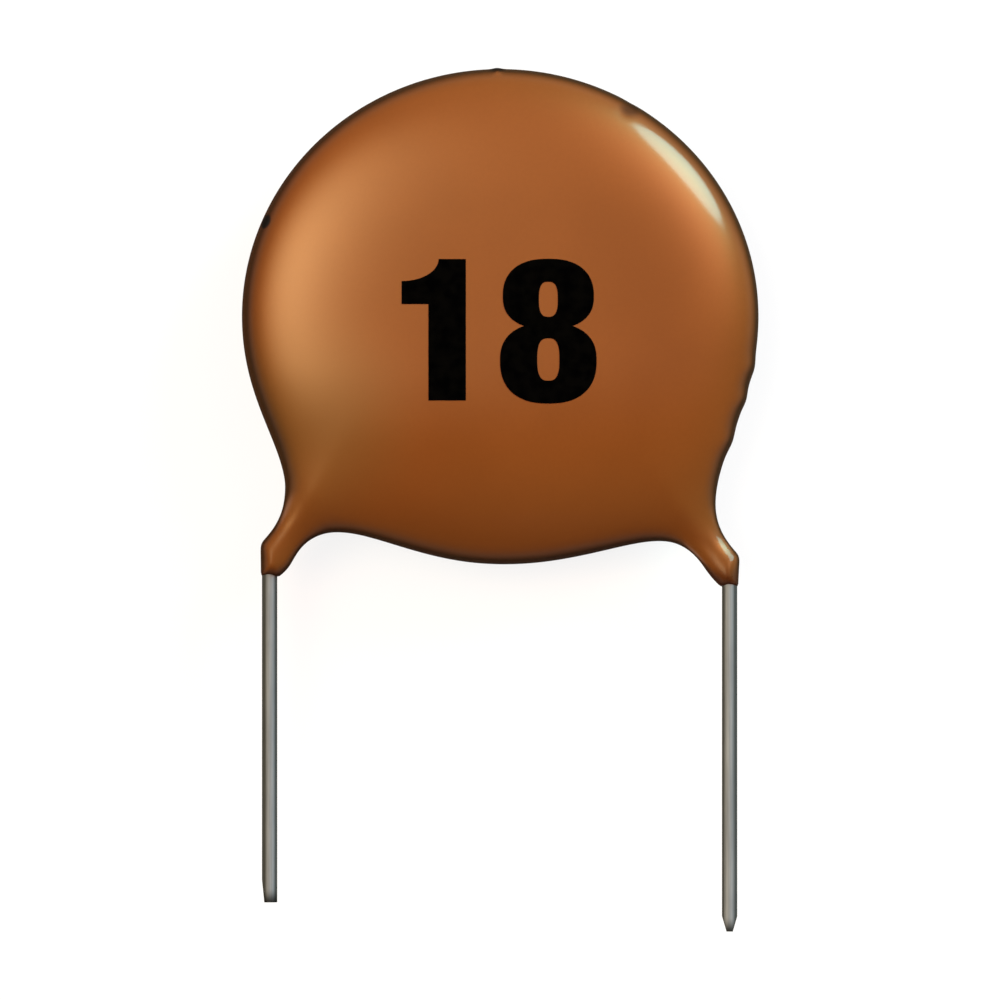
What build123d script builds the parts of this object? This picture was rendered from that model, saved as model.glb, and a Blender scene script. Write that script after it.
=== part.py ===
from build123d import *
import os
from math import cos, radians, sin, sqrt

# Ceramic disc capacitor with two radial leads, lying on the rear of its disc.
# +Z comes out of the marked face, the leads run towards -Y, and the origin lies
# under the centre of the disc, on the plane that it rests on. Millimetres.

# Ceramic plate and its silver films
ceramic_diameter = 14.0
ceramic_thickness = 1.0
bare_margin = 0.7
electrode_thickness = 0.05

# Dipped coating: how far it covers the ceramic at the sides, at both ends and over the joints
side_cover = 1.425
end_cover = 1.075
face_cover = 0.57
shoulder_reach = 4.4
crown_trim = 0.02

# Lead wires, from the bare lengths under the coating to the lengths laid on the films
wire_diameter = 0.5
lead_pitch = 15.0
left_bare_length = 10.65
right_bare_length = 11.25
lead_lean_angle = 36.5
wire_bend_radius = 1.25
face_bend_gap = 0.45
film_run = 4.15

# Cut ends of the wires: a nick on the left one, a pinched point on the right one
nick_length = 0.75
nick_depth = 0.08
pinch_length = 0.5
pinch_flat = 0.2

# Solder joints
solder_film = 0.06
solder_cover = 0.12
solder_width = 1.7
solder_overrun = 0.7
solder_bond_length = 3.4
solder_side_angle = 28.0

# Legs of the coating that run down onto the wires, and hang below the disc
left_foot_hang = 0.375
right_foot_hang = 0.725
foot_run = 0.45
foot_film = 0.05
knee_run = 0.5
leg_width = 1.22
leg_wall = 0.2
flare_start_share = 0.5
flare_fullness = 1.8
root_depth = 1.3
root_width_share = 0.98
root_depth_share = 0.95
leg_steps = 24

electrode_diameter = ceramic_diameter - 2 * bare_margin
coat_width = ceramic_diameter + 2 * side_cover
coat_height = ceramic_diameter + 2 * end_cover
wire_radius = wire_diameter / 2
electrode_face = ceramic_thickness / 2 + electrode_thickness
wire_lift = electrode_face + solder_film + wire_radius
solder_height = solder_film + wire_diameter + solder_cover
coat_half = electrode_face + solder_height + face_cover
coat_thickness = 2 * coat_half
crown_half = coat_half + crown_trim
foot_radius = wire_radius + foot_film
leg_half = leg_width / 2
leg_half_depth = wire_radius + leg_wall


def ease(share):
    """Goes from 0 to 1 with a level start and a level end."""
    share = min(max(share, 0), 1)
    return share * share * (3 - 2 * share)


def oval_crossings(start, heading, half_width, half_height):
    """Distances from a point, along a heading, to both sides of an oval about the origin."""
    a = (heading[0] / half_width) ** 2 + (heading[1] / half_height) ** 2
    b = start[0] * heading[0] / half_width**2 + start[1] * heading[1] / half_height**2
    c = (start[0] / half_width) ** 2 + (start[1] / half_height) ** 2 - 1
    spread = sqrt(b * b - a * c)
    return (-b - spread) / a, (-b + spread) / a


class LeadLine:
    """Where one wire runs: up the lead, in at an angle over the rim, onto its own film."""

    def __init__(self, side, face, foot_hang, bare_length):
        self.side = side
        self.face = face
        foot_end = coat_height / 2 + foot_hang
        self.tip = (side * lead_pitch / 2, -foot_end - bare_length)
        self.bend = (side * lead_pitch / 2, -foot_end + foot_run)
        lean = radians(lead_lean_angle)
        self.heading = (-side * sin(lean), cos(lean))
        self.inward = (-side * self.heading[1], side * self.heading[0])
        ceramic_radius = ceramic_diameter / 2
        edge = oval_crossings(self.bend, self.heading, ceramic_radius, ceramic_radius)[0]
        self.landing = edge - face_bend_gap
        self.run = edge + film_run
        self.rim = oval_crossings(self.bend, self.heading, coat_width / 2, coat_height / 2)[0]
        self.root = self.rim + root_depth

    def lift(self, along):
        """Height of the wire over the middle plane, at a distance past the bend."""
        return self.face * wire_lift * min(max(along / self.landing, 0), 1)

    def place(self, along, lift):
        """A point past the bend, at a height over the middle plane."""
        x = self.bend[0] + along * self.heading[0]
        y = self.bend[1] + along * self.heading[1]
        return Vector(x, y, coat_half + lift)

    def wire_points(self):
        return [
            Vector(*self.tip, coat_half),
            self.place(0, 0),
            self.place(self.landing, self.lift(self.landing)),
            self.place(self.run, self.lift(self.run)),
        ]

    def leg_section(self, along):
        """Plane and half sizes of the leg's oval section, before or past the bend."""
        turned = ease((along + foot_run) / (foot_run + knee_run))
        settled = ease((along + foot_run / 2) / (knee_run + foot_run / 2))
        flare_start = self.rim * flare_start_share
        share = max(along - flare_start, 0) / (self.root - flare_start)
        flared = share * share * (flare_fullness + (1 - flare_fullness) * share)
        sunk = ease(share)

        root_point = self.place(self.root, 0)
        outer, inner = oval_crossings(
            (root_point.X, root_point.Y), self.inward, coat_width / 2, coat_height / 2
        )
        root_half = (inner - outer) / 2 * root_width_share
        root_shift = (inner + outer) / 2
        reach_share = max(1 - root_depth / shoulder_reach, 0)
        root_half_depth = crown_half * sqrt(1 - reach_share**2) * root_depth_share

        half_width = foot_radius + (leg_half - foot_radius) * turned
        shift = (half_width - foot_radius) * (1 - settled) + root_shift * flared
        half_width += (root_half - leg_half) * flared
        half_depth = foot_radius + (leg_half_depth - foot_radius) * turned
        half_depth += (root_half_depth - leg_half_depth) * sunk

        if along < 0:
            centre = Vector(self.bend[0], self.bend[1] + along, coat_half)
        else:
            centre = self.place(along, self.lift(along) * (1 - sunk))
        heading = Vector(self.heading[0] * turned, self.heading[1] * turned + 1 - turned, 0).normalized()
        inward = Vector(-self.side * heading.Y, self.side * heading.X, 0)
        return Plane(centre + inward * shift, x_dir=inward, z_dir=heading), half_width, half_depth


left_line = LeadLine(-1, 1, left_foot_hang, left_bare_length)
right_line = LeadLine(1, -1, right_foot_hang, right_bare_length)

with BuildPart() as ceramic_disc:
    with BuildSketch(Plane.XY.offset(coat_half - ceramic_thickness / 2)):
        Circle(ceramic_diameter / 2)
    extrude(amount=ceramic_thickness)

with BuildPart() as front_electrode:
    with BuildSketch(Plane.XY.offset(coat_half + ceramic_thickness / 2)):
        Circle(electrode_diameter / 2)
    extrude(amount=electrode_thickness)

with BuildPart() as rear_electrode:
    with BuildSketch(Plane.XY.offset(coat_half - ceramic_thickness / 2)):
        Circle(electrode_diameter / 2)
    extrude(amount=-electrode_thickness)

# Both wires are drawn round wire, bent once at the foot and once at the ceramic's edge.
with BuildPart() as left_lead:
    with BuildLine() as left_path:
        FilletPolyline(*left_line.wire_points(), radius=wire_bend_radius)
    with BuildSketch(Plane(left_line.wire_points()[0], z_dir=(0, 1, 0))):
        Circle(wire_radius)
    sweep()
    tip_x, tip_y = left_line.tip
    outer_side = tip_x - wire_radius
    with BuildSketch(Plane.XY):
        with BuildLine():
            Polyline(
                (outer_side, tip_y),
                (outer_side + nick_depth, tip_y),
                (outer_side, tip_y + nick_length),
                close=True,
            )
        make_face()
    extrude(amount=coat_thickness, mode=Mode.SUBTRACT)

with BuildPart() as right_lead:
    with BuildLine() as right_path:
        FilletPolyline(*right_line.wire_points(), radius=wire_bend_radius)
    with BuildSketch(Plane(right_line.wire_points()[0], z_dir=(0, 1, 0))):
        Circle(wire_radius)
    sweep()
    tip_x, tip_y = right_line.tip
    with BuildSketch(Plane.XY):
        for way in (-1, 1):
            side_x = tip_x + way * wire_radius
            with BuildLine():
                Polyline(
                    (side_x, tip_y),
                    (tip_x + way * pinch_flat / 2, tip_y),
                    (side_x, tip_y + pinch_length),
                    close=True,
                )
            make_face()
    extrude(amount=coat_thickness, mode=Mode.SUBTRACT)


def solder_plane(line):
    """The film's outer face, set on the middle of the soldered length and turned along the wire."""
    middle = line.run + (solder_overrun - solder_bond_length) / 2
    centre = line.place(middle, line.face * electrode_face)
    return Plane(centre, x_dir=(*line.heading, 0), z_dir=(0, 0, line.face))


# Each joint is a low mound that wets the film and closes over the end of the wire.
with BuildPart() as front_solder:
    with BuildSketch(solder_plane(left_line)):
        SlotOverall(solder_bond_length + solder_overrun, solder_width)
    extrude(amount=solder_height, taper=solder_side_angle)
    add(left_lead.part, mode=Mode.SUBTRACT)

with BuildPart() as rear_solder:
    with BuildSketch(solder_plane(right_line)):
        SlotOverall(solder_bond_length + solder_overrun, solder_width)
    extrude(amount=solder_height, taper=solder_side_angle)
    add(right_lead.part, mode=Mode.SUBTRACT)

# The dip: an oval lens with a flat middle on each side, and a leg down each wire.
with BuildPart() as coating:
    with BuildSketch(Plane.XZ):
        with BuildLine():
            shoulder_start = coat_width / 2 - shoulder_reach
            Line((0, coat_half - crown_half), (shoulder_start, coat_half - crown_half))
            EllipticalCenterArc(
                (shoulder_start, coat_half), shoulder_reach, crown_half, start_angle=-90, arc_size=180
            )
            Line((shoulder_start, coat_half + crown_half), (0, coat_half + crown_half))
            Line((0, coat_half + crown_half), (0, coat_half - crown_half))
        make_face()
    revolve(axis=Axis.Z)
    scale(by=(1, coat_height / coat_width, 1))
    split(bisect_by=Plane.XY, keep=Keep.TOP)
    split(bisect_by=Plane.XY.offset(coat_thickness), keep=Keep.BOTTOM)
    for line in (left_line, right_line):
        for step in range(leg_steps + 1):
            along = -foot_run + (line.root + foot_run) * step / leg_steps
            section, half_width, half_depth = line.leg_section(along)
            with BuildSketch(section):
                Ellipse(half_width, half_depth)
        loft()
    for inner in (ceramic_disc, front_electrode, rear_electrode, front_solder, rear_solder, left_lead, right_lead):
        add(inner.part, mode=Mode.SUBTRACT)

ceramic_disc.part.label = "ceramic_disc"
front_electrode.part.label = "front_electrode"
rear_electrode.part.label = "rear_electrode"
left_lead.part.label = "left_lead"
right_lead.part.label = "right_lead"
front_solder.part.label = "front_solder"
rear_solder.part.label = "rear_solder"
coating.part.label = "coating"

os.makedirs("parts", exist_ok=True)
export_step(ceramic_disc.part, "parts/ceramic_disc.step")
export_step(front_electrode.part, "parts/front_electrode.step")
export_step(rear_electrode.part, "parts/rear_electrode.step")
export_step(left_lead.part, "parts/left_lead.step")
export_step(right_lead.part, "parts/right_lead.step")
export_step(front_solder.part, "parts/front_solder.step")
export_step(rear_solder.part, "parts/rear_solder.step")
export_step(coating.part, "parts/coating.step")
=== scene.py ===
from math import acos, cos, pi, radians, sin

import bmesh
import bpy
import numpy as np
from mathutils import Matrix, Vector


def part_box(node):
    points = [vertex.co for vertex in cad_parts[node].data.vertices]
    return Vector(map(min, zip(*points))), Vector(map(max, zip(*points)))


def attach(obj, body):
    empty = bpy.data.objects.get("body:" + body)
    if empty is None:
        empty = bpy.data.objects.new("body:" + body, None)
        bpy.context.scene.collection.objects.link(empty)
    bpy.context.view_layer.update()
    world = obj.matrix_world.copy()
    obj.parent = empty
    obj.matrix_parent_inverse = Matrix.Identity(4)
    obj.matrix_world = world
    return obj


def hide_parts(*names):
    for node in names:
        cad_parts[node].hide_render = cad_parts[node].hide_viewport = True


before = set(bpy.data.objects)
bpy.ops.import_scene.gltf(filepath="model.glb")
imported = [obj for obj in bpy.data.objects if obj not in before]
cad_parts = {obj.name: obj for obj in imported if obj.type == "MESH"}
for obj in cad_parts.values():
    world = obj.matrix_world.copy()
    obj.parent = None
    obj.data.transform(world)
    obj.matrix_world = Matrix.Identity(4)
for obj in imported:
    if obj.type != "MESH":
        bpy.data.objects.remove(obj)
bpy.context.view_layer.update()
mm = 0.001

# Ceramic plate
# A round blank of titanate powder, pressed and fired hard, which holds the two films apart.
# It is matt and pale, with darker grains, and the dip covers all of it.

ceramic_colour = (0.62, 0.55, 0.45)
ceramic_roughness = 0.8
grain_tones = ((0.52, 0.44, 0.34), (0.68, 0.61, 0.51))
grain_span = (0.35, 0.7)
grain_size = 0.12
grain_depth = 0.01


def new_finish(name, colour, roughness, metallic=0.0):
    """A plain finish to build on: its material, its node tree and its shader."""
    material = bpy.data.materials.new(name)
    material.use_nodes = True
    shader = material.node_tree.nodes["Principled BSDF"]
    shader.inputs["Base Color"].default_value = (*colour, 1)
    shader.inputs["Roughness"].default_value = roughness
    shader.inputs["Metallic"].default_value = metallic
    return material, material.node_tree, shader


def add_node(tree, kind, feeds, **settings):
    """A new node whose inputs take plain values or the outputs of other nodes."""
    node = tree.nodes.new(kind)
    for setting, value in settings.items():
        setattr(node, setting, value)
    for socket, value in feeds.items():
        if isinstance(value, bpy.types.NodeSocket):
            tree.links.new(value, node.inputs[socket])
        else:
            node.inputs[socket].default_value = value
    return node


def mottling(tree, size, detail=2.0, stretch=(1, 1, 1)):
    """Cloudy noise whose patches are about this many millimetres across."""
    place = add_node(tree, "ShaderNodeTexCoord", {}).outputs["Object"]
    scale = [1 / (size * mm * s) for s in stretch]
    scaled = add_node(tree, "ShaderNodeMapping", {"Vector": place, "Scale": scale}).outputs[0]
    feeds = {"Vector": scaled, "Scale": 1, "Detail": detail}
    return add_node(tree, "ShaderNodeTexNoise", feeds).outputs["Fac"]


def ramp(tree, value, from_low, from_high, to_low, to_high):
    """Turns one range of a value into another, held at both ends."""
    feeds = {"Value": value, "From Min": from_low, "From Max": from_high}
    feeds |= {"To Min": to_low, "To Max": to_high}
    return add_node(tree, "ShaderNodeMapRange", feeds, interpolation_type="SMOOTHSTEP").outputs[0]


def tint(tree, share, first, second):
    """Mixes two colours, or two colour outputs, by a share."""
    first, second = [c if isinstance(c, bpy.types.NodeSocket) else (*c, 1) for c in (first, second)]
    mix = add_node(tree, "ShaderNodeMix", {0: share, 6: first, 7: second}, data_type="RGBA")
    return mix.outputs[2]


def roughen(tree, shader, height, depth):
    """Gives the surface bumps of this depth in millimetres."""
    bump = add_node(tree, "ShaderNodeBump", {"Height": height, "Distance": depth * mm, "Strength": 1})
    tree.links.new(bump.outputs[0], shader.inputs["Normal"])


def dress(node, material):
    """Puts a finish on a piece of the frame."""
    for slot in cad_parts[node].material_slots:
        slot.material = material


fired_ceramic, tree, shader = new_finish("fired_ceramic", ceramic_colour, ceramic_roughness)
grains = mottling(tree, grain_size, detail=4)
speckled = tint(tree, ramp(tree, grains, *grain_span, 0, 1), *grain_tones)
tree.links.new(speckled, shader.inputs["Base Color"])
roughen(tree, shader, grains, grain_depth)
dress("ceramic_disc", fired_ceramic)

# Silver films
# Silver paste screened on both sides of the ceramic and fired on, short of its edge.
# The fired film is matt and a little cloudy, and the solder takes to it.

film_colour = (0.78, 0.77, 0.74)
film_tones = ((0.66, 0.65, 0.61), (0.82, 0.81, 0.79))
film_roughness = 0.5
film_roughness_span = (0.42, 0.6)
film_cloud_size = 0.8
film_cloud_span = (0.3, 0.7)
film_grit_size = 0.1
film_grit_depth = 0.004

fired_silver, tree, shader = new_finish("fired_silver", film_colour, film_roughness, metallic=1.0)
clouds = mottling(tree, film_cloud_size, detail=4)
cloudy = tint(tree, ramp(tree, clouds, *film_cloud_span, 0, 1), *film_tones)
tree.links.new(cloudy, shader.inputs["Base Color"])
tree.links.new(ramp(tree, clouds, *film_cloud_span, *film_roughness_span), shader.inputs["Roughness"])
roughen(tree, shader, mottling(tree, film_grit_size, detail=3), film_grit_depth)
dress("front_electrode", fired_silver)
dress("rear_electrode", fired_silver)

# Leads
# Copper wire, drawn to size and tinned, bent in at the foot and soldered to a film.
# The tin is dull, with drawing lines; painted shade darkens its flanks and its cut ends.

line_width = 0.05
line_depth = 0.004
line_stretch = (1, 60, 1)
line_span = (0.4, 0.6)
line_share = 0.25
patch_size = 0.7
patch_stretch = (1, 3, 1)
patch_span = (0.35, 0.65)
tin_tones = ((0.172, 0.194, 0.232), (0.202, 0.227, 0.267))
tin_metal_share = 0.35
tin_roughness = 0.7
tin_roughness_span = (0.64, 0.76)
tin_gleam = 0.1
tin_gleam_tint = (0.15, 0.14, 0.1)
line_colour = (0.128, 0.144, 0.17)
# Painted shade on each wire's flanks, which leaves a painted highlight along the side facing its bright
# way.
painted_flank_shade_colour = (0.022, 0.022, 0.018)
painted_flank_shade_share = 0.85
painted_flank_shade_turn = (0.7, 1.0)
# Painted shade over the last half millimetre before each wire's cut tip.
painted_tip_shade_colour = (0.006, 0.006, 0.006)
painted_tip_shade_share = 0.93
painted_tip_shade_reach = 0.5
painted_highlight_ways = {"left_lead": (0.12, 0, 0.99), "right_lead": (-0.08, 0, 1)}


def worked_out(tree, operation, *values):
    """One number worked out from others."""
    return add_node(tree, "ShaderNodeMath", dict(enumerate(values)), operation=operation).outputs[0]


def between(tree, operation, first, second):
    """One number from two places or directions, such as the distance between them."""
    feeds = {0: first, 1: second}
    return add_node(tree, "ShaderNodeVectorMath", feeds, operation=operation).outputs["Value"]


def turned(tree, way):
    """How far a surface is turned towards a direction: 1 when it faces it, 0 when square to it."""
    normal = add_node(tree, "ShaderNodeNewGeometry", {}).outputs["Normal"]
    return between(tree, "DOT_PRODUCT", normal, way)


def facing(tree, way=(0, 0, 1)):
    """How far a surface faces a direction or its opposite, which is up or down if none is given."""
    return worked_out(tree, "ABSOLUTE", turned(tree, way))


def place_along(tree, axis):
    """Place along one axis of the part, in metres."""
    place = add_node(tree, "ShaderNodeTexCoord", {}).outputs["Object"]
    return add_node(tree, "ShaderNodeSeparateXYZ", {0: place}).outputs[axis]


def dull_tin(lead):
    """Tinned wire, painted shade on its flanks and cut end, and so a painted highlight along one side."""
    material, tree, shader = new_finish(lead + "_tin", tin_tones[0], tin_roughness, tin_metal_share)
    drawing_lines = mottling(tree, line_width, detail=3, stretch=line_stretch)
    dull_patches = mottling(tree, patch_size, detail=3, stretch=patch_stretch)
    tin = tint(tree, ramp(tree, dull_patches, *patch_span, 0, 1), *tin_tones)
    tin = tint(tree, ramp(tree, drawing_lines, *line_span, 0, line_share), tin, line_colour)
    # painted shade on the flanks, leaving a painted highlight along the bright way
    painted_flank_shade = ramp(tree, facing(tree, painted_highlight_ways[lead]), *painted_flank_shade_turn, painted_flank_shade_share, 0)
    tin = tint(tree, painted_flank_shade, tin, painted_flank_shade_colour)
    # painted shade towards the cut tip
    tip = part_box(lead)[0].y
    cut = ramp(tree, place_along(tree, "Y"), tip, tip + painted_tip_shade_reach * mm, painted_tip_shade_share, 0)
    tree.links.new(tint(tree, cut, tin, painted_tip_shade_colour), shader.inputs["Base Color"])
    roughness = ramp(tree, drawing_lines, *patch_span, *tin_roughness_span)
    tree.links.new(roughness, shader.inputs["Roughness"])
    shader.inputs["Specular IOR Level"].default_value = tin_gleam
    shader.inputs["Specular Tint"].default_value = (*tin_gleam_tint, 1)
    roughen(tree, shader, drawing_lines, line_depth)
    return material


for lead in painted_highlight_ways:
    dress(lead, dull_tin(lead))

# Solder joints
# A low mound of tin solder that closes over the end of each wire and wets its film.
# It sets smooth and bright, with faint grain.

solder_colour = (0.6, 0.6, 0.6)
solder_tones = ((0.52, 0.52, 0.52), (0.68, 0.68, 0.67))
solder_roughness = 0.25
solder_roughness_span = (0.18, 0.36)
frost_size = 0.25
frost_span = (0.35, 0.65)

tin_solder, tree, shader = new_finish("tin_solder", solder_colour, solder_roughness, metallic=1.0)
frosting = mottling(tree, frost_size, detail=4)
frosted = tint(tree, ramp(tree, frosting, *frost_span, 0, 1), *solder_tones)
tree.links.new(frosted, shader.inputs["Base Color"])
tree.links.new(ramp(tree, frosting, *frost_span, *solder_roughness_span), shader.inputs["Roughness"])
dress("front_solder", tin_solder)
dress("rear_solder", tin_solder)

# Dipped coating
# Orange-brown resin in which the soldered plate was dipped, up to the bends of the wires.
# It set as one smooth lens that sags a little at the right, and flares down onto each wire.

coat_low, coat_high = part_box("coating")
right_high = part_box("right_lead")[1]
half_width = coat_high.x / mm
half_height = coat_high.y / mm
half_thickness = (coat_high.z - coat_low.z) / 2 / mm
middle = (coat_high.z + coat_low.z) / 2 / mm
wire_radius = 0.25
lead_side = right_high.x / mm - wire_radius
lens_radius = (half_width + half_height) / 2
lens_shift = 0.02
rim_sharpness = 3.5
skin_pitch = 0.1
settling_rounds = 4
smoothing_rounds = 6
last_rounds = 2

sag = 0.47
sag_place = 6.2
sag_width = 3.16
sag_start = 4.0

foot_cover = 0.025
corner_rounding = 0.2
foot_rounding = 0.12
strip_softness = 0.35
leg_reach = 6.0
reach_rounding = 2.0
web_turn = 1.0
leg_thinning = 0.22
thinning_run = 2.0
foot_slant = radians(43)
leg_lift = 0.16
lift_place = 2.0
lift_length = 1.6
lift_width = 1.2
left_leg = {
    "side": -1,
    "face": 1,
    "foot_drop": 0.375,
    "bend_height": 0.52,
    "lean": radians(31.8),
    "half_width": 0.592,
    "taper": 0.318,
    "outer_web": 3.57,
    "inner_web": 5.06,
}
right_leg = {
    "side": 1,
    "face": -1,
    "foot_drop": 0.725,
    "bend_height": 0.426,
    "lean": radians(36.2),
    "half_width": 0.593,
    "taper": 0.275,
    "outer_web": 4.52,
    "inner_web": 4.13,
}

flank_lumps = [
    {"x": 8.27, "y": -1.66, "size": 0.05, "width": 0.35},
    {"x": 7.98, "y": -2.72, "size": 0.05, "width": 0.3},
    {"x": 7.52, "y": -4.06, "size": 0.06, "width": 0.4},
    {"x": -0.08, "y": 8.03, "size": 0.05, "width": 0.15},
    {"x": 4.12, "y": 6.72, "size": -0.05, "width": 0.22},
]


def ease(share):
    """Goes from 0 to 1 with a level start and a level end."""
    share = np.clip(share, 0, 1)
    return share * share * (3 - 2 * share)


def joined(first, second, width):
    """Depth in two bodies of resin that run together over this width."""
    near = np.maximum(width - abs(first - second), 0) / width
    return np.minimum(first, second) - near**3 * width / 6


def trimmed(first, second, width):
    """Depth in what two bodies share, with the edge between them rounded over this width."""
    return -joined(-first, -second, width)


def lens_edge(x, y):
    """Distance out of the lens's own outline, in millimetres, and less than zero inside it."""
    reach = half_height + sag * np.exp(-(((x - sag_place) / sag_width) ** 2)) * ease(-y / sag_start)
    return (np.hypot((x - lens_shift) / half_width, y / reach) - 1) * lens_radius


def leg_strip(x, y, leg):
    """One leg from its foot on the wire: distance out of it, width of its web, and its lift."""
    foot_y = -half_height - leg["foot_drop"]
    inward = lead_side - leg["side"] * x
    upward = y - foot_y - leg["bend_height"]
    along = inward * sin(leg["lean"]) + upward * cos(leg["lean"])
    across = inward * cos(leg["lean"]) - upward * sin(leg["lean"])
    half = np.maximum(leg["half_width"] - leg["taper"] * along, 0)
    strip = np.hypot(across, strip_softness) - np.hypot(half, strip_softness)
    foot_half = wire_radius + foot_cover
    slant = (inward - foot_half) * cos(foot_slant) - (y - foot_y) * sin(foot_slant)
    strip = trimmed(strip, slant, corner_rounding)
    strip = trimmed(strip, -(inward + foot_half), corner_rounding)
    strip = trimmed(strip, foot_y - y, foot_rounding)
    strip = trimmed(strip, along - leg_reach, reach_rounding)
    web = leg["outer_web"] + (leg["inner_web"] - leg["outer_web"]) * ease((across / web_turn + 1) / 2)
    lift = leg_lift * np.exp(-((across / lift_width) ** 2) - ((along - lift_place) / lift_length) ** 2)
    return strip, web, leg["face"] * lift


def coat_depth(points):
    """Below zero inside the coating, above zero outside, for points in millimetres about its middle."""
    x, y, z = points[..., 0], points[..., 1], points[..., 2]
    lens = lens_edge(x, y)
    edge = lens
    lift = 0
    fullness = 1 - leg_thinning * ease(lens / thinning_run)
    for leg in (left_leg, right_leg):
        strip, web, leg_rise = leg_strip(x, y, leg)
        edge = joined(edge, strip, web)
        lift = lift + leg_rise
    for lump in flank_lumps:
        away = ((x - lump["x"]) ** 2 + (y - lump["y"]) ** 2) / lump["width"] ** 2
        edge = edge - lump["size"] * np.exp(-away)
    out = np.maximum(1 + edge / lens_radius, 0)
    return out**rim_sharpness + ((z - lift) / (half_thickness * fullness)) ** 2 - 1


def slopes(depth, points, step=1e-3):
    """The way out of a skin at each point."""
    moves = np.eye(3) * step
    return np.stack([depth(points + move) - depth(points - move) for move in moves], axis=-1) / (2 * step)


def settle(depth, points, rounds):
    """Moves points straight onto the skin where the depth is zero."""
    for _ in range(rounds):
        slope = slopes(depth, points)
        points = points - (depth(points) / (slope**2).sum(-1))[:, None] * slope
    return points


def skin(depth, low, high, pitch):
    """Points and four-sided faces of the closed skin where the depth is zero."""
    axes = [np.arange(start, stop + pitch, pitch) for start, stop in zip(low, high)]
    grid = np.stack(np.meshgrid(*axes, indexing="ij"), axis=-1)
    inside = depth(grid) < 0
    corners = np.zeros([n - 1 for n in inside.shape], int)
    for corner in np.ndindex(2, 2, 2):
        corners += inside[tuple(slice(c, c + n - 1) for c, n in zip(corner, inside.shape))]
    crossed = (corners > 0) & (corners < 8)
    number = np.cumsum(crossed).reshape(crossed.shape) - 1
    points = grid[:-1, :-1, :-1][crossed] + pitch / 2

    faces = []
    for axis in range(3):
        turned = np.moveaxis(inside, axis, 0)[:, 1:-1, 1:-1]
        cells = np.moveaxis(number, axis, 0)
        leaves = turned[:-1] & ~turned[1:]
        enters = ~turned[:-1] & turned[1:]
        for crossing, forward in ((leaves, axis != 1), (enters, axis == 1)):
            a, b, c = np.nonzero(crossing)
            ring = [cells[a, b, c], cells[a, b + 1, c], cells[a, b + 1, c + 1], cells[a, b, c + 1]]
            faces.append(np.stack(ring if forward else ring[::-1], axis=1))
    faces = np.concatenate(faces)

    points = settle(depth, points, settling_rounds)
    starts = faces.ravel()
    ends = np.roll(faces, -1, axis=1).ravel()
    for _ in range(smoothing_rounds):
        total = np.zeros_like(points)
        count = np.zeros(len(points))
        np.add.at(total, starts, points[ends])
        np.add.at(count, starts, 1)
        points = settle(depth, total / count[:, None], 1)
    return settle(depth, points, last_rounds), faces


def skin_piece(name, points, faces, normals, material):
    """An object from points in millimetres about the middle of the part."""
    mesh = bpy.data.meshes.new(name)
    mesh.from_pydata(((points + (0, 0, middle)) * mm).tolist(), [], faces.tolist())
    mesh.polygons.foreach_set("use_smooth", [True] * len(mesh.polygons))
    mesh.normals_split_custom_set_from_vertices(normals.tolist())
    mesh.materials.append(material)
    piece = bpy.data.objects.new(name, mesh)
    bpy.context.collection.objects.link(piece)
    return piece


resin_tones = ((0.131, 0.0368, 0.0068), (0.145, 0.0413, 0.008))
fleck_colour = (0.098, 0.027, 0.005)
# The resin's tone turns more olive towards the bottom.
lower_tone_colour = (0.098, 0.04, 0.0105)
# Painted sheen: a paler, more olive patch at the lower left.
painted_sheen_colour = (0.118, 0.063, 0.0197)
# Painted shade: the resin darkens towards the rim where the surface turns away from up.
painted_rim_shade_colour = (0.02, 0.008, 0.002)
# Dark specks on the resin, and painted shade in the dent at the upper right.
speck_and_dent_shade_colour = (0.003, 0.0015, 0.0005)
# Painted shade where the feet taper down onto the wires.
painted_foot_shade_colour = (0.03, 0.008, 0.004)
sheen_tones = ((0.03, 0.015, 0.004), (1.0, 0.5, 0.155))
sheen_level = 0.55
cloud_size = 4.0
fleck_size = 0.12
noise_span = (0.3, 0.7)
fleck_share = 0.12
lower_tone_share = 0.45
painted_rim_shade_share = 0.95
painted_foot_shade_share = 0.6
resin_roughness = 0.42
resin_roughness_span = (1.0, 0.38)
coat_most = 0.34
coat_roughness = 0.13
web_gloss_least = 0.12
foot_gloss_sides = (0.32, 0.6)

lower_tone_span = (-7.5 * mm, -3.0 * mm)
waist_span = (-6.2 * mm, -4.0 * mm)
web_span = (-4.6 * mm, -1.3 * mm)
foot_span = (-6.7 * mm, -6.1 * mm)
foot_end_span = (-8.6 * mm, -8.0 * mm)
side_span = (-1.0 * mm, 1.0 * mm)
# The painted rim shade is deepest where the surface turns this way; painted light eases it towards the
# lamp.
shaded_way = (-0.11, -0.12, 0)
lamp_way = (0.7, 0.7, 0)
lamp_turn = (0.3, 0.6)
lamp_lift = 0.08
spot_lift = 0.25
painted_rim_shade_turn = (0.5, 0.86)
rough_turn = (0.5, 0.8)
coat_turn = (0.68, 0.8)
sheen_turn = (0.62, 0.9)

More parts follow.
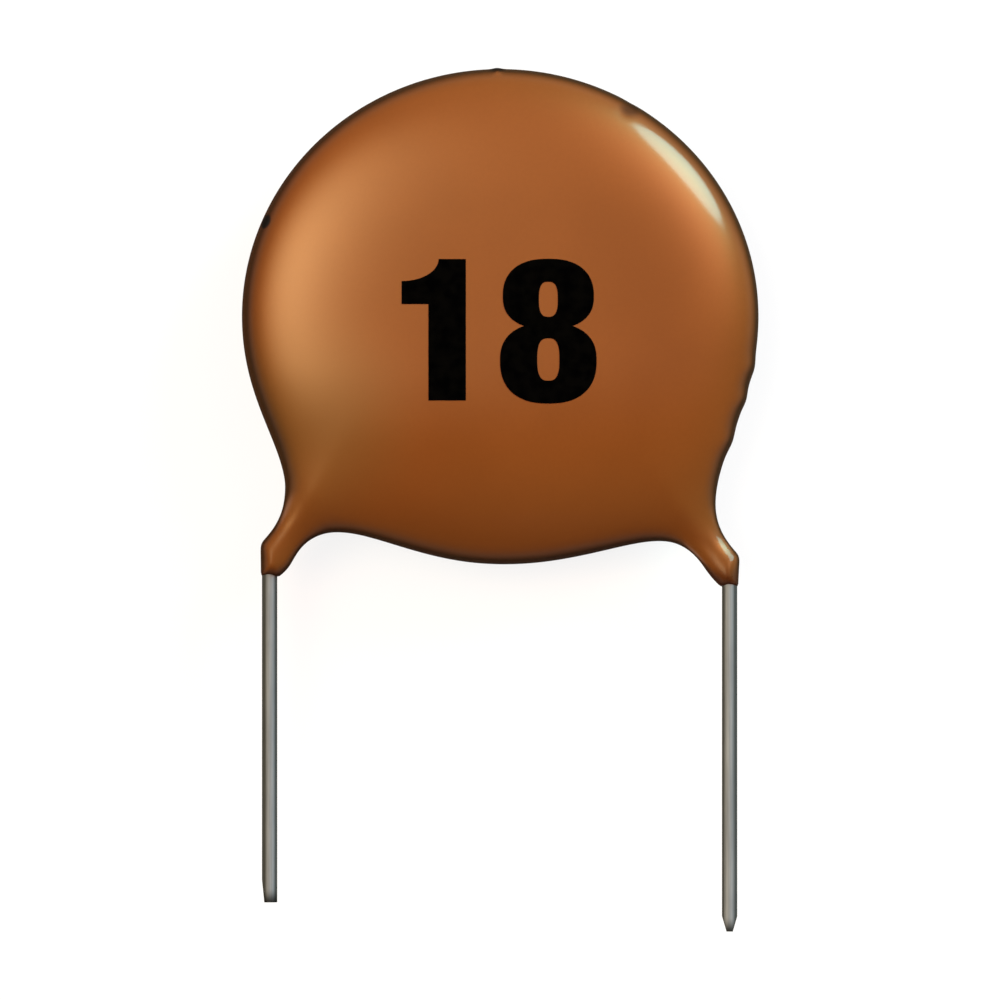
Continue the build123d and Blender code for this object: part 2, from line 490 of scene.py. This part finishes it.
dark_specks_and_dent_shade = [
    {"place": (-7.63, 3.09, 0.42), "core": 0.19, "radius": 0.29, "share": 1.0},
    # painted shade in the dent at the upper right
    {"place": (4.25, 6.72, 0.5), "core": 0.1, "radius": 0.5, "share": 0.55},
    {"place": (-0.08, 8.0, 0.2), "core": 0.1, "radius": 0.35, "share": 0.9},
]
painted_sheen_patch = {"place": (-6.2, -3.3, 0.8), "core": 0.4, "radius": 4.4, "share": 0.6}
glossy_spots = [
    {"place": (-7.0, -6.4, 0.8), "core": 0.1, "radius": 0.9, "share": 0.9},
    {"place": (6.4, -7.7, 0.3), "core": 0.1, "radius": 0.7, "share": 0.8},
    {"place": (7.3, -7.52, 0.4), "core": 0.1, "radius": 0.55, "share": 0.8},
]


def spot_share(tree, spot):
    """A share that is full at a spot on the coating, and fades to nothing round it."""
    place = add_node(tree, "ShaderNodeTexCoord", {}).outputs["Object"]
    centre = (Vector(spot["place"]) + Vector((0, 0, middle))) * mm
    gap = between(tree, "DISTANCE", place, centre)
    return ramp(tree, gap, spot["core"] * mm, spot["radius"] * mm, spot["share"], 0)


dipped_resin, tree, shader = new_finish("dipped_resin", resin_tones[0], resin_roughness)
lengthwise = place_along(tree, "Y")
glossy = spot_share(tree, glossy_spots[0])
for spot in glossy_spots[1:]:
    glossy = worked_out(tree, "MAXIMUM", glossy, spot_share(tree, spot))
level = worked_out(tree, "MULTIPLY_ADD", glossy, spot_lift, facing(tree))

resin = tint(tree, ramp(tree, mottling(tree, cloud_size), *noise_span, 0, 1), *resin_tones)
flecks = mottling(tree, fleck_size, detail=3)
resin = tint(tree, ramp(tree, flecks, *noise_span, 0, fleck_share), resin, fleck_colour)
resin = tint(tree, ramp(tree, lengthwise, *lower_tone_span, lower_tone_share, 0), resin, lower_tone_colour)
# painted sheen at the lower left
resin = tint(tree, spot_share(tree, painted_sheen_patch), resin, painted_sheen_colour)
# Painted shade on the rim, deepest on the lower left, eased by painted light on the lamp side and on the
# glossy spots.
shaded = worked_out(tree, "MAXIMUM", turned(tree, shaded_way), 0.0)
shaded = worked_out(tree, "MULTIPLY", shaded, ramp(tree, lengthwise, *waist_span, 0, 1))
lamp_side = ramp(tree, turned(tree, lamp_way), *lamp_turn, 0, lamp_lift)
lit = worked_out(tree, "ADD", worked_out(tree, "SUBTRACT", level, shaded), lamp_side)
resin = tint(tree, ramp(tree, lit, *painted_rim_shade_turn, painted_rim_shade_share, 0), resin, painted_rim_shade_colour)
# dark specks, and painted shade in the dent
for dark_mark in dark_specks_and_dent_shade:
    resin = tint(tree, spot_share(tree, dark_mark), resin, speck_and_dent_shade_colour)
# painted shade at the ends of the feet
resin = tint(tree, ramp(tree, lengthwise, *foot_end_span, painted_foot_shade_share, 0), resin, painted_foot_shade_colour)
tree.links.new(resin, shader.inputs["Base Color"])

tree.links.new(ramp(tree, level, *rough_turn, *resin_roughness_span), shader.inputs["Roughness"])
web_gloss = worked_out(tree, "MAXIMUM", ramp(tree, lengthwise, *web_span, web_gloss_least, 1), glossy)
foot_shine = ramp(tree, place_along(tree, "X"), *side_span, *foot_gloss_sides)
foot_gloss = ramp(tree, lengthwise, *foot_span, foot_shine, 0)
skin_gloss = worked_out(tree, "MAXIMUM", web_gloss, foot_gloss)
coat = worked_out(tree, "MULTIPLY", skin_gloss, ramp(tree, level, *coat_turn, 0, coat_most))
tree.links.new(coat, shader.inputs["Coat Weight"])
shader.inputs["Coat Roughness"].default_value = coat_roughness
sheen_share = worked_out(tree, "MULTIPLY", web_gloss, ramp(tree, level, *sheen_turn, 0, 1))
tree.links.new(tint(tree, sheen_share, *sheen_tones), shader.inputs["Specular Tint"])
shader.inputs["Specular IOR Level"].default_value = sheen_level

margin = 3 * skin_pitch
low = (-half_width - margin, coat_low.y / mm - margin, -half_thickness - margin)
high = (half_width + margin, half_height + margin, half_thickness + margin)
coat_points, coat_faces = skin(coat_depth, low, high, skin_pitch)
coat_slopes = slopes(coat_depth, coat_points)
coat_normals = coat_slopes / np.linalg.norm(coat_slopes, axis=1)[:, None]
dip = skin_piece("dip", coat_points, coat_faces, coat_normals, dipped_resin)
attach(dip, "root")
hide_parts("coating")

# Value marking
# The plain value number, stamped on the front of the cured resin in flat black ink.
# The figures are heavy and upright, and the ink is a thin film that follows the face.

ink_thickness = 0.012
ink_sink = 0.02
ink_cut = 0.3
figure_top = 1.84
figure_foot = -2.755
stem_left = -2.312
stem_right = -1.096
stem_shoulder = -1.979
flag_left = -3.183
flag_top = 1.125
flag_foot = 0.375
loop_centre = 1.581
loop_power = 2.4
waist_half_width = 0.794
upper_loop = {"y": 0.62, "half_width": 1.479, "above": 1.229, "below": 1.06}
lower_loop = {"y": -1.448, "half_width": 1.569, "above": 1.22, "below": 1.405}
eye_power = 2.8
upper_eye = {"y": 0.5315, "half_width": 0.308, "above": 0.5675, "below": 0.5675}
lower_eye = {"y": -1.422, "half_width": 0.36, "above": 0.688, "below": 0.688}
sweep_steps = 16
loop_steps = 72
eye_steps = 49


def loop_points(loop, power, start, end, steps):
    """Points round a squarish oval, from one angle to another."""
    angles = np.linspace(start, end, steps)
    across = np.sign(np.cos(angles)) * abs(np.cos(angles)) ** (2 / power)
    upward = np.sign(np.sin(angles)) * abs(np.sin(angles)) ** (2 / power)
    height = np.where(upward > 0, loop["above"], loop["below"])
    return np.stack([loop_centre + loop["half_width"] * across, loop["y"] + height * upward], axis=1)


def figure_one():
    """Outline of the 1, with a flag whose top sweeps up into the stem."""
    sweep = np.linspace(-pi / 2, 0, sweep_steps)
    sweep_x = flag_left + (stem_shoulder - flag_left) * np.cos(sweep)
    sweep_y = figure_top + (figure_top - flag_top) * np.sin(sweep)
    stem = [
        (stem_right, figure_top),
        (stem_right, figure_foot),
        (stem_left, figure_foot),
        (stem_left, flag_foot),
        (flag_left, flag_foot),
    ]
    return [np.concatenate([np.stack([sweep_x, sweep_y], axis=1), stem])]


def figure_eight():
    """Outline of the 8 from waist to waist, and its two eyes."""
    upper_turn = acos((waist_half_width / upper_loop["half_width"]) ** (loop_power / 2))
    lower_turn = acos((waist_half_width / lower_loop["half_width"]) ** (loop_power / 2))
    upper = loop_points(upper_loop, loop_power, -upper_turn, pi + upper_turn, loop_steps)
    lower = loop_points(lower_loop, loop_power, pi - lower_turn, 2 * pi + lower_turn, loop_steps)
    eyes = [loop_points(eye, eye_power, 0, 2 * pi, eye_steps)[:-1] for eye in (upper_eye, lower_eye)]
    return [np.concatenate([upper, lower[1:-1]]), *eyes]


def face_height(x, y):
    """Height of the coating's front over its middle, at places on the face."""
    points = np.stack([x, y, np.full_like(x, half_thickness)], axis=-1)
    for _ in range(settling_rounds + last_rounds):
        points[:, 2] -= coat_depth(points) / slopes(coat_depth, points)[:, 2]
    return points[:, 2]


def ink_film(name, outlines, material):
    """A thin film of ink with these outlines, laid on the front of the coating."""
    bm = bmesh.new()
    edges = []
    for outline in outlines:
        corners = [bm.verts.new((x, y, 0)) for x, y in outline]
        edges += [bm.edges.new(pair) for pair in zip(corners, corners[1:] + corners[:1])]
    bmesh.ops.triangle_fill(bm, use_beauty=True, edges=edges)
    places = np.concatenate(outlines)
    for axis in (0, 1):
        direction = Vector((1 - axis, axis, 0))
        for cut in np.arange(places[:, axis].min() + ink_cut, places[:, axis].max(), ink_cut):
            geometry = [*bm.verts, *bm.edges, *bm.faces]
            bmesh.ops.bisect_plane(bm, geom=geometry, plane_co=direction * cut, plane_no=direction)
    bmesh.ops.recalc_face_normals(bm, faces=bm.faces)
    if bm.faces[:][0].normal.z < 0:
        bmesh.ops.reverse_faces(bm, faces=bm.faces)
    spots = np.array([v.co for v in bm.verts])
    for vert, height in zip(bm.verts, face_height(spots[:, 0], spots[:, 1])):
        vert.co.z = middle + height + ink_thickness
    rim = bmesh.ops.extrude_face_region(bm, geom=bm.faces[:])["geom"]
    for part in rim:
        if isinstance(part, bmesh.types.BMVert):
            part.co.z -= ink_thickness + ink_sink
    bmesh.ops.recalc_face_normals(bm, faces=bm.faces)
    bmesh.ops.scale(bm, vec=(mm, mm, mm), verts=bm.verts)
    mesh = bpy.data.meshes.new(name)
    bm.to_mesh(mesh)
    bm.free()
    mesh.materials.append(material)
    film = bpy.data.objects.new(name, mesh)
    bpy.context.collection.objects.link(film)
    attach(film, "root")


ink_colour = (0.003, 0.003, 0.003)
ink_tones = ((0.0003, 0.0003, 0.0004), (0.0011, 0.001, 0.0009))
ink_roughness = 0.55
ink_roughness_span = (0.5, 0.65)
ink_patch_size = 0.4

stamping_ink, tree, shader = new_finish("stamping_ink", ink_colour, ink_roughness)
patches = mottling(tree, ink_patch_size, detail=4)
ink = tint(tree, ramp(tree, patches, *noise_span, 0, 1), *ink_tones)
tree.links.new(ink, shader.inputs["Base Color"])
tree.links.new(ramp(tree, patches, *noise_span, *ink_roughness_span), shader.inputs["Roughness"])
shader.inputs["Specular IOR Level"].default_value = 0.0
ink_film("figure_1", figure_one(), stamping_ink)
ink_film("figure_8", figure_eight(), stamping_ink)

# Floor, lamps and camera
# The part lies on a plain pale floor, with the camera straight above it.
# Soft warm light falls from the left and the upper right, with a round lamp low at the upper right.

floor_size = 3.0
paper_colour = (0.86, 0.89, 1.0)
paper_roughness = 0.9
backdrop_share = 0.84
bpy.ops.mesh.primitive_plane_add(size=floor_size)
floor = bpy.context.object
floor.name = "floor"
paper, tree, shader = new_finish("paper", paper_colour, paper_roughness)
shader.inputs["Specular IOR Level"].default_value = 0
rays = add_node(tree, "ShaderNodeLightPath", {})
seen = rays.outputs["Is Camera Ray"]
for kind in ("Is Glossy Ray", "Is Transmission Ray"):
    seen = worked_out(tree, "MAXIMUM", seen, rays.outputs[kind])
shown = worked_out(tree, "MULTIPLY", seen, backdrop_share)
white = add_node(tree, "ShaderNodeEmission", {"Color": (1, 1, 1, 1), "Strength": 1.0}).outputs[0]
surface = add_node(tree, "ShaderNodeMixShader", {0: shown, 1: shader.outputs[0], 2: white}).outputs[0]
tree.links.new(surface, tree.nodes["Material Output"].inputs["Surface"])
floor.data.materials.append(paper)

lamp_place = (144, 128, 68)
lamp_size = 110
lamp_power = 0.68
lamp_colour = (0.46, 1.0, 0.98)
aim = Vector((0, 0, middle * mm))
lamp = bpy.data.lights.new("rim_lamp", "AREA")
lamp.shape = "DISK"
lamp.size = lamp_size * mm
lamp.energy = lamp_power
lamp.color = lamp_colour
stand = bpy.data.objects.new("rim_lamp", lamp)
stand.location = aim + Vector(lamp_place) * mm
stand.rotation_euler = (aim - stand.location).to_track_quat("-Z", "Y").to_euler()
bpy.context.collection.objects.link(stand)

overhead_glow = {"towards": (0, 0.35, 0.94), "tightness": 2.0, "colour": (0.31, 0.31, 0.55)}
left_glow = {"towards": (-0.55, 0.15, 0.81), "tightness": 16.0, "colour": (12.4, 9.9, 5.6)}
right_glow = {"towards": (0.6, 0.45, 0.66), "tightness": 24.0, "colour": (9.8, 4.2, 2.2)}


def sky_glow(tree, glow):
    """Soft light from one part of the studio, strongest straight from there."""
    direction = add_node(tree, "ShaderNodeTexCoord", {}).outputs["Generated"]
    towards = between(tree, "DOT_PRODUCT", direction, Vector(glow["towards"]).normalized())
    lobe = worked_out(tree, "POWER", worked_out(tree, "MAXIMUM", towards, 0.0), glow["tightness"])
    feeds = {0: glow["colour"], "Scale": lobe}
    return add_node(tree, "ShaderNodeVectorMath", feeds, operation="SCALE").outputs[0]


world = bpy.context.scene.world or bpy.data.worlds.new("studio")
bpy.context.scene.world = world
world.use_nodes = True
tree = world.node_tree
studio = sky_glow(tree, overhead_glow)
for glow in (left_glow, right_glow):
    feeds = {0: studio, 1: sky_glow(tree, glow)}
    studio = add_node(tree, "ShaderNodeVectorMath", feeds, operation="ADD").outputs[0]
tree.links.new(studio, tree.nodes["Background"].inputs["Color"])

frame_width = 32.61
view_centre_x = 0.013
view_centre_y = -5.984
camera_height = 400.0
lens_data = bpy.data.cameras.new("camera")
lens_data.sensor_width = 36.0
lens_data.lens = lens_data.sensor_width * camera_height / frame_width
camera = bpy.data.objects.new("camera", lens_data)
camera.location = (view_centre_x * mm, view_centre_y * mm, (middle + camera_height) * mm)
bpy.context.collection.objects.link(camera)
bpy.context.scene.camera = camera
bpy.context.scene.view_settings.view_transform = "Standard"
